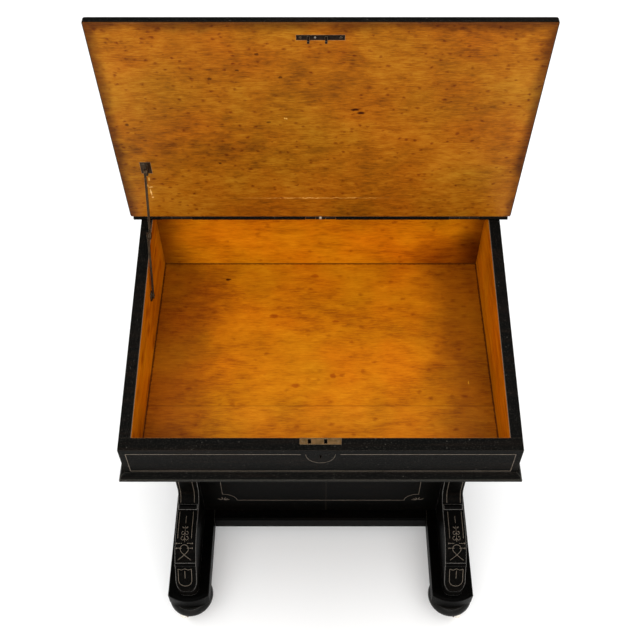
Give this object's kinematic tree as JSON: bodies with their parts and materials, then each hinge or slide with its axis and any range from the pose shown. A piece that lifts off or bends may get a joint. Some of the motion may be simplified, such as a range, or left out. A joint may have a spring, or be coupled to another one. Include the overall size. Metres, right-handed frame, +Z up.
{
  "type": "davenport desk",
  "caption": "Ebonised davenport writing desk: sloping hinged lid over a well, folding stay, lock, side drawers, scroll supports, sled feet and porcelain castors.",
  "frame": {"origin": "on the floor at the middle of the standing desk's bounding box", "axes": "+X to the sitter's right, +Y to the back, +Z up"},
  "size_m": [0.634, 0.526, 1.2073],
  "materials": {
    "ebonised_wood": "satin",
    "amber_wood": "satin",
    "maple_veneer": "polished",
    "writing_leather": "satin",
    "drawer_wood": "matte",
    "brass": "aged",
    "dark_iron": "aged",
    "porcelain": "gloss"
  },
  "bodies": {
    "case": {"case_left_side": "ebonised_wood", "case_right_side": "ebonised_wood", "case_front_board": "ebonised_wood", "case_back_board": "ebonised_wood", "case_bottom_moulding": "ebonised_wood", "top_shelf": "ebonised_wood", "gallery_back": "ebonised_wood", "gallery_ends": "ebonised_wood", "pedestal_front_panel": "ebonised_wood", "pedestal_back_panel": "ebonised_wood", "pedestal_left_panel": "ebonised_wood", "dummy_drawer_fronts": "ebonised_wood", "dummy_drawer_knobs": "ebonised_wood", "plinth_platform": "ebonised_wood", "left_sled_foot": "ebonised_wood", "right_sled_foot": "ebonised_wood", "left_scroll_support": "ebonised_wood", "right_scroll_support": "ebonised_wood", "bun_feet": "ebonised_wood", "case_floor": "amber_wood", "well_back_wall": "amber_wood", "dust_boards": "drawer_wood", "hinge_shelf_leaves": "brass", "hinge_pins": "brass", "lock_plate": "brass", "stay_wall_plate": "brass", "castor_sockets": "brass", "lock_case": "dark_iron"},
    "lid": {"lid_board": "ebonised_wood", "lid_lining": "maple_veneer", "lid_leather": "writing_leather", "hinge_lid_leaves": "brass", "lid_link_plate": "dark_iron", "stay_lid_bracket": "brass"},
    "stay_upper": {"stay_upper_arm": "brass"},
    "stay_lower": {"stay_lower_arm": "brass"},
    "bolt": {"lock_bolt": "dark_iron"},
    "drawer_1": {"drawer_1_front": "ebonised_wood", "drawer_1_box": "drawer_wood", "drawer_1_knobs": "ebonised_wood"},
    "drawer_2": {"drawer_2_front": "ebonised_wood", "drawer_2_box": "drawer_wood", "drawer_2_knobs": "ebonised_wood"},
    "drawer_3": {"drawer_3_front": "ebonised_wood", "drawer_3_box": "drawer_wood", "drawer_3_knobs": "ebonised_wood"},
    "drawer_4": {"drawer_4_front": "ebonised_wood", "drawer_4_box": "drawer_wood", "drawer_4_knobs": "ebonised_wood"},
    "castor_front_left": {"castor_fork_front_left": "brass"},
    "wheel_front_left": {"castor_wheel_front_left": "porcelain"},
    "castor_front_right": {"castor_fork_front_right": "brass"},
    "wheel_front_right": {"castor_wheel_front_right": "porcelain"},
    "castor_rear_left": {"castor_fork_rear_left": "brass"},
    "wheel_rear_left": {"castor_wheel_rear_left": "porcelain"},
    "castor_rear_right": {"castor_fork_rear_right": "brass"},
    "wheel_rear_right": {"castor_wheel_rear_right": "porcelain"}
  },
  "joints": [
    {"name": "lid_hinge", "type": "hinge", "parent": "case", "child": "lid", "pos_m": [0, 0.147, 0.79294], "axis": [1, 0, 0], "range_deg": [0, 97]},
    {"name": "stay_upper_pivot", "type": "hinge", "parent": "lid", "child": "stay_upper", "pos_m": [-0.2737, 0.12843, 0.91914], "axis": [1, 0, 0], "range_deg": [-134.7, 0]},
    {"name": "stay_lower_pivot", "type": "hinge", "parent": "case", "child": "stay_lower", "pos_m": [-0.2771, 0.035, 0.72294], "axis": [1, 0, 0], "range_deg": [0, 122.4]},
    {"name": "bolt_slide", "type": "slide", "parent": "case", "child": "bolt", "axis": [1, 0, 0], "range_m": [0, 0.006]},
    {"name": "drawer_1_slide", "type": "slide", "parent": "case", "child": "drawer_1", "axis": [1, 0, 0], "range_m": [0, 0.32]},
    {"name": "drawer_2_slide", "type": "slide", "parent": "case", "child": "drawer_2", "axis": [1, 0, 0], "range_m": [0, 0.32]},
    {"name": "drawer_3_slide", "type": "slide", "parent": "case", "child": "drawer_3", "axis": [1, 0, 0], "range_m": [0, 0.32]},
    {"name": "drawer_4_slide", "type": "slide", "parent": "case", "child": "drawer_4", "axis": [1, 0, 0], "range_m": [0, 0.32]},
    {"name": "castor_front_left_swivel", "type": "hinge", "parent": "case", "child": "castor_front_left", "pos_m": [-0.2625, -0.219, 0.024], "axis": [0, 0, 1], "continuous": true},
    {"name": "wheel_front_left_spin", "type": "hinge", "parent": "castor_front_left", "child": "wheel_front_left", "pos_m": [-0.2772, -0.24164, 0.012], "axis": [0.8387, -0.5446, 0], "continuous": true},
    {"name": "castor_front_right_swivel", "type": "hinge", "parent": "case", "child": "castor_front_right", "pos_m": [0.2625, -0.219, 0.024], "axis": [0, 0, 1], "continuous": true},
    {"name": "wheel_front_right_spin", "type": "hinge", "parent": "castor_front_right", "child": "wheel_front_right", "pos_m": [0.2772, -0.24164, 0.012], "axis": [0.8387, 0.5446, 0], "continuous": true},
    {"name": "castor_rear_left_swivel", "type": "hinge", "parent": "case", "child": "castor_rear_left", "pos_m": [-0.2625, 0.217, 0.024], "axis": [0, 0, 1], "continuous": true},
    {"name": "wheel_rear_left_spin", "type": "hinge", "parent": "castor_rear_left", "child": "wheel_rear_left", "pos_m": [-0.2772, 0.23964, 0.012], "axis": [-0.8387, -0.5446, 0], "continuous": true},
    {"name": "castor_rear_right_swivel", "type": "hinge", "parent": "case", "child": "castor_rear_right", "pos_m": [0.2625, 0.217, 0.024], "axis": [0, 0, 1], "continuous": true},
    {"name": "wheel_rear_right_spin", "type": "hinge", "parent": "castor_rear_right", "child": "wheel_rear_right", "pos_m": [0.2772, 0.23964, 0.012], "axis": [-0.8387, 0.5446, 0], "continuous": true}
  ],
  "couplings": [
    {"joint": "stay_upper_pivot", "follows": "lid_hinge", "ratio": -1.3877},
    {"joint": "stay_lower_pivot", "follows": "lid_hinge", "ratio": 1.2613}
  ]
}
